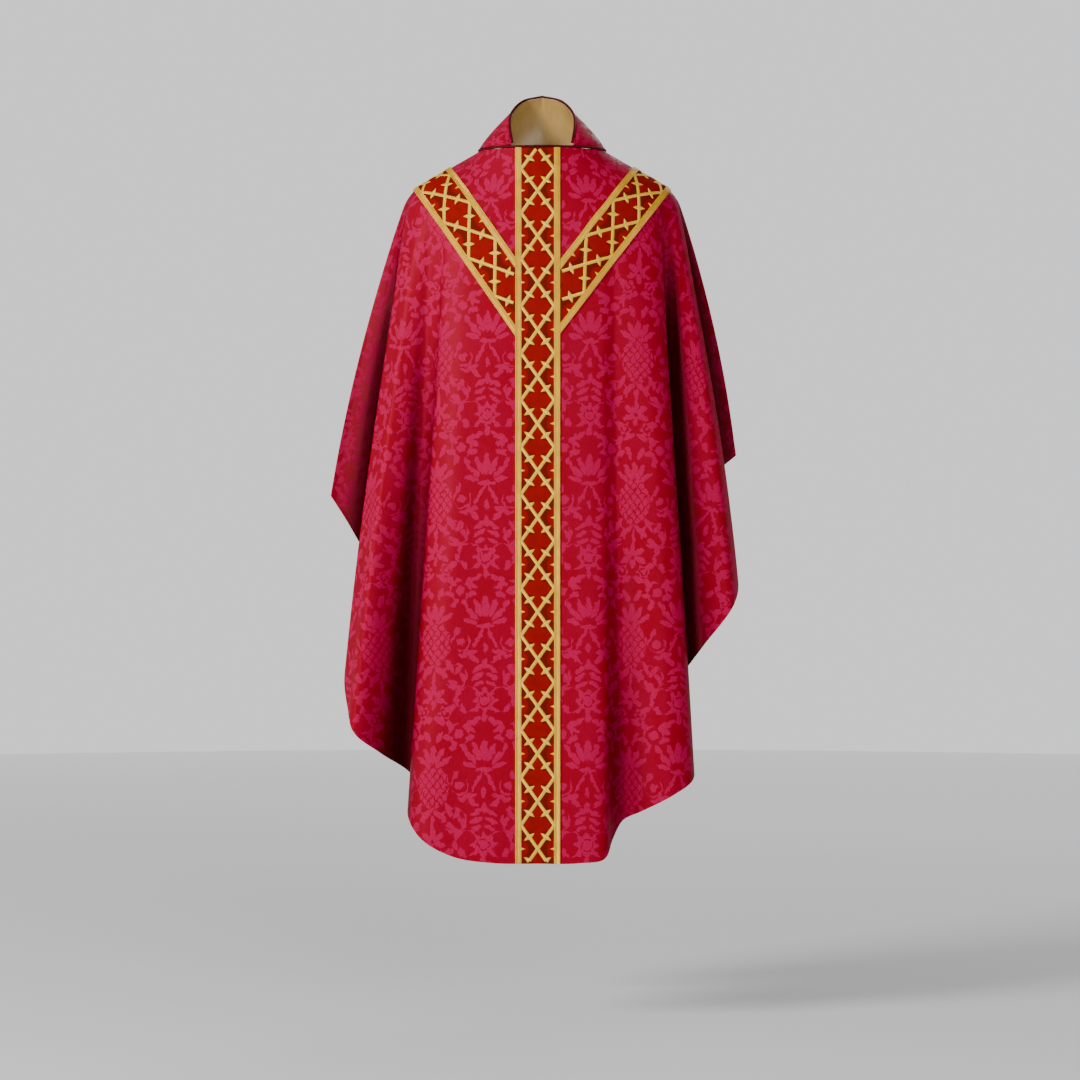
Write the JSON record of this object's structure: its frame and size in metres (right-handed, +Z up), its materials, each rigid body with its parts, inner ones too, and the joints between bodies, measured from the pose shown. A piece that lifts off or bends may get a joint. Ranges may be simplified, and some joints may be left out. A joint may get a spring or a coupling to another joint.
{
  "type": "chasuble",
  "caption": "Draped semi-Gothic chasuble: front and back cloth, linings, stand collar, and Y-shaped orphreys edged with galloon.",
  "frame": {"origin": "in the plane of the front neckline, on the centre line of the front orphrey, where the neck rest is", "axes": "+Z up, the front of the garment faces -Y, +X is the wearer's left"},
  "size_m": [0.7317, 0.3642, 1.3627],
  "materials": {
    "damask": "satin",
    "lining": "satin",
    "interfacing": "matte",
    "orphrey_velvet": "matte",
    "gold_galloon": "satin",
    "gold_thread": "satin",
    "piping": "satin"
  },
  "bodies": {
    "root": {"front_panel": "damask", "back_panel": "damask", "front_lining": "lining", "back_lining": "lining", "front_hem_interfacing": "interfacing", "back_hem_interfacing": "interfacing", "front_pillar_orphrey": "orphrey_velvet", "front_pillar_galloon_right": "gold_galloon", "front_pillar_galloon_left": "gold_galloon", "front_pillar_lattice": "gold_thread", "back_pillar_orphrey": "orphrey_velvet", "back_pillar_galloon_right": "gold_galloon", "back_pillar_galloon_left": "gold_galloon", "back_pillar_lattice": "gold_thread", "left_arm_orphrey": "orphrey_velvet", "left_arm_galloon_upper": "gold_galloon", "left_arm_galloon_lower": "gold_galloon", "left_arm_lattice": "gold_thread", "right_arm_orphrey": "orphrey_velvet", "right_arm_galloon_upper": "gold_galloon", "right_arm_galloon_lower": "gold_galloon", "right_arm_lattice": "gold_thread", "collar_outer": "damask", "collar_interfacing": "interfacing", "collar_lining": "lining", "neck_piping": "piping", "collar_edge_piping": "piping", "left_shoulder_seam_tape": "interfacing", "right_shoulder_seam_tape": "interfacing"}
  },
  "joints": []
}
